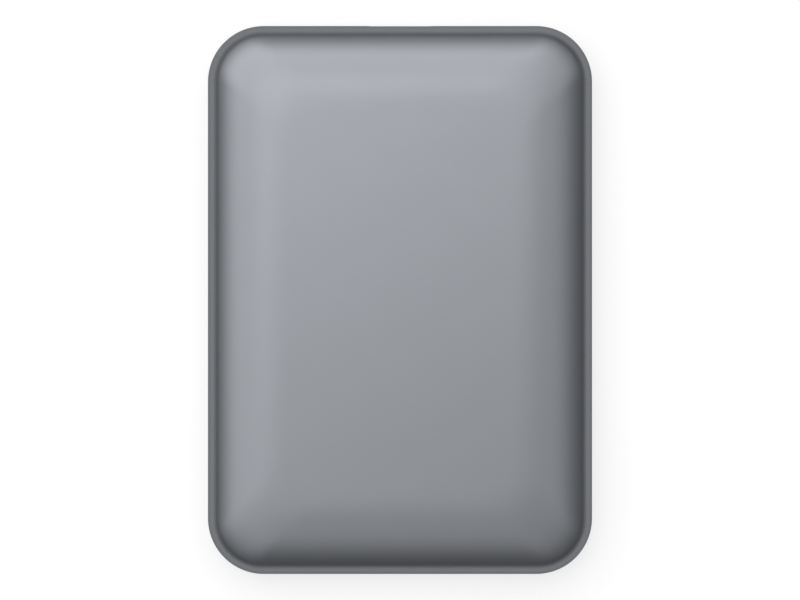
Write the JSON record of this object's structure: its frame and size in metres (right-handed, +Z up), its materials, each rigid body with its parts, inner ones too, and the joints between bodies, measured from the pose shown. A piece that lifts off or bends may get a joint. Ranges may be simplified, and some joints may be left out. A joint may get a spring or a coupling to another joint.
{
  "type": "external hard drive",
  "caption": "Pocket external hard drive: a plain grey pillow-shaped case with rounded corners and an end socket, holding a spinning disk and its swinging head arm.",
  "frame": {"origin": "middle of the footprint at the flat underside, on the table", "axes": "+Z up out of the plain face that the picture shows, +Y along the case towards the end with the socket (up in the picture), +X to the right in the picture"},
  "size_m": [0.0802, 0.1144, 0.0148],
  "materials": {
    "cover_plastic": "satin, fine spark texture",
    "light_clear": "clear, polished",
    "bumper_rubber": "matt",
    "pad_foam": "open foam",
    "bridge_mask": "solder mask, satin",
    "drive_mask": "solder mask, satin",
    "socket_steel": "tin plated",
    "connector_plastic": "moulded, matt",
    "contact_gold": "plated",
    "chip_plastic": "moulded, matt",
    "crystal_can": "nickel plated",
    "inductor_ferrite": "matt",
    "capacitor_ceramic": "satin",
    "led_body": "milky",
    "base_casting": "die cast, satin",
    "lid_sheet": "pressed, brushed",
    "seal_rubber": "moulded, matt",
    "sleeve_bronze": "turned",
    "hub_alloy": "turned, satin",
    "rotor_ferrite": "bonded magnet, matt",
    "stator_laminate": "laminated",
    "winding_copper": "enamelled wire",
    "platter_coat": "polished",
    "clamp_steel": "satin",
    "pivot_steel": "ground",
    "arm_alloy": "machined, satin",
    "suspension_steel": "etched sheet",
    "slider_ceramic": "polished",
    "yoke_nickel": "nickel plated",
    "magnet_nickel": "nickel plated",
    "ramp_plastic": "moulded",
    "flex_plastic": "moulded, matt",
    "flex_film": "amber film",
    "filter_felt": "felt",
    "pouch_felt": "woven pouch"
  },
  "bodies": {
    "housing": {"top_cover": "cover_plastic", "bottom_cover": "cover_plastic", "light_pipe": "light_clear", "corner_bumper_front_left": "bumper_rubber", "corner_bumper_front_right": "bumper_rubber", "corner_bumper_rear_left": "bumper_rubber", "corner_bumper_rear_right": "bumper_rubber", "foam_pad_front": "pad_foam", "foam_pad_rear": "pad_foam", "bridge_board": "bridge_mask", "usb_socket_shell": "socket_steel", "usb_socket_tongue": "connector_plastic", "usb_contacts": "contact_gold", "sata_receptacle": "connector_plastic", "bridge_chip": "chip_plastic", "clock_crystal": "crystal_can", "power_inductor": "inductor_ferrite", "bridge_capacitors": "capacitor_ceramic", "activity_led": "led_body", "drive_base": "base_casting", "drive_cover": "lid_sheet", "cover_gasket": "seal_rubber", "spindle_sleeve": "sleeve_bronze", "motor_stator": "stator_laminate", "stator_windings": "winding_copper", "pivot_post": "pivot_steel", "yoke_lower": "yoke_nickel", "yoke_upper": "yoke_nickel", "magnet_lower": "magnet_nickel", "magnet_upper": "magnet_nickel", "load_ramp": "ramp_plastic", "flex_bracket": "flex_plastic", "flex_ribbon": "flex_film", "air_filter": "filter_felt", "drying_pouch": "pouch_felt", "drive_board": "drive_mask", "controller_chip": "chip_plastic", "motor_driver_chip": "chip_plastic", "cache_chip": "chip_plastic", "sata_plug": "connector_plastic"},
    "disk_pack": {"spindle_hub": "hub_alloy", "rotor_magnet": "rotor_ferrite", "platter": "platter_coat", "disk_clamp": "clamp_steel"},
    "actuator": {"pivot_bearing": "pivot_steel", "actuator_arm": "arm_alloy", "voice_coil": "winding_copper", "suspension_upper": "suspension_steel", "suspension_lower": "suspension_steel", "head_upper": "slider_ceramic", "head_lower": "slider_ceramic"}
  },
  "joints": [
    {"name": "disk_spin", "type": "hinge", "parent": "housing", "child": "disk_pack", "pos_m": [0, -0.0174, 0.0069], "axis": [0, 0, 1], "continuous": true},
    {"name": "arm_swing", "type": "hinge", "parent": "housing", "child": "actuator", "pos_m": [0.008, 0.0206, 0.0072], "axis": [0, 0, 1], "range_deg": [-38, 0]}
  ]
}
